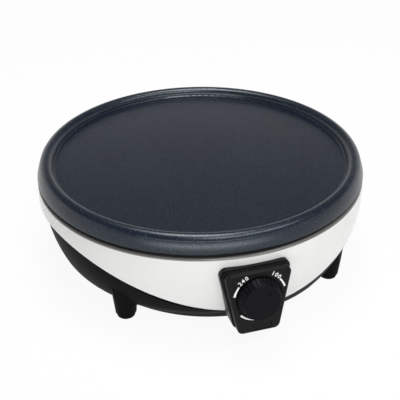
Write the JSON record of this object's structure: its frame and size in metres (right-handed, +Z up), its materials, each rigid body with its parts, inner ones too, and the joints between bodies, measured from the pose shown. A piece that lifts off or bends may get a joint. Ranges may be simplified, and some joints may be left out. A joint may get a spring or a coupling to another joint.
{
  "type": "electric crepe maker",
  "caption": "Round electric crepe maker: dark rimmed non-stick plate on a white and black housing with small feet and a front thermostat knob.",
  "frame": {"origin": "centre of the footprint of the whole object, on the table under the feet", "axes": "+Z up, the control panel and knob face -Y, +X to the right seen from the front"},
  "size_m": [0.3318, 0.356, 0.1097],
  "materials": {
    "nonstick_coating": "cast aluminium with a dark speckled non-stick coating",
    "white_shell": "glossy warm white moulded plastic",
    "black_shell": "fine-grained black moulded plastic",
    "panel_black": "satin black moulded plastic",
    "knob_black": "satin black moulded plastic with ribbed grip",
    "smoked_lens": "smoked lamp window",
    "lamp_glass": "clear neon lamp envelope",
    "seal_rubber": "dark grey heat-proof silicone",
    "sole_rubber": "black rubber with a fine grain",
    "inner_rubber": "black flexible rubber",
    "zinc_steel": "zinc-plated steel",
    "spring_steel": "bare spring steel",
    "aluminised_sheet": "bright pressed sheet",
    "element_steel": "heat-tinted steel tube",
    "brass": "plain turned brass",
    "ceramic": "unglazed steatite",
    "clamp_plastic": "off-white engineering plastic",
    "wire_brown": "brown silicone insulation",
    "wire_blue": "blue silicone insulation",
    "wire_white": "white glass-braid insulation",
    "wire_green": "green and yellow insulation"
  },
  "bodies": {
    "root": {"cooking_plate": "nonstick_coating", "heating_element": "element_steel", "element_beads": "ceramic", "element_clips": "zinc_steel", "heat_seal": "seal_rubber", "reflector": "aluminised_sheet", "housing_shell": "white_shell", "base_shell": "black_shell", "housing_screws": "zinc_steel", "plate_screws": "zinc_steel", "plate_washers": "zinc_steel", "plate_spacers": "zinc_steel", "panel_frame": "panel_black", "panel_face": "panel_black", "face_screws": "zinc_steel", "lamp_lens": "smoked_lens", "indicator_lamp": "lamp_glass", "thermostat_bracket": "zinc_steel", "bracket_screws": "zinc_steel", "thermostat_bush": "brass", "bush_nut": "brass", "stack_washers": "ceramic", "moving_leaf": "spring_steel", "fixed_leaf": "brass", "bimetal_strip": "spring_steel", "stack_rivet": "zinc_steel", "cord_gland": "inner_rubber", "cord_clamp": "clamp_plastic", "clamp_screws": "zinc_steel", "terminal_block": "clamp_plastic", "terminal_screws": "brass", "thermal_fuse": "zinc_steel", "fuse_clip": "spring_steel", "lead_live": "wire_brown", "lead_switched": "wire_white", "lead_fused": "wire_white", "lead_neutral": "wire_blue", "lead_earth": "wire_green", "earth_tag": "zinc_steel", "earth_screw": "zinc_steel", "foot_pad_front_left": "sole_rubber", "foot_pad_front_right": "sole_rubber", "foot_pad_rear_right": "sole_rubber", "foot_pad_rear_left": "sole_rubber"},
    "knob": {"knob": "knob_black", "spindle": "zinc_steel", "spindle_clip": "spring_steel"},
    "adjuster": {"adjusting_pin": "ceramic"}
  },
  "joints": [
    {"name": "knob_turn", "type": "hinge", "parent": "root", "child": "knob", "pos_m": [0, -0.15408, 0.05354], "axis": [0, -0.9945, 0.1045], "range_deg": [-280, 0]},
    {"name": "pin_slide", "type": "slide", "parent": "root", "child": "adjuster", "axis": [0, 0.9945, -0.1045], "range_m": [0, 0.00065]}
  ],
  "couplings": [
    {"joint": "pin_slide", "follows": "knob_turn", "m_per_rad": -0.00012278}
  ]
}
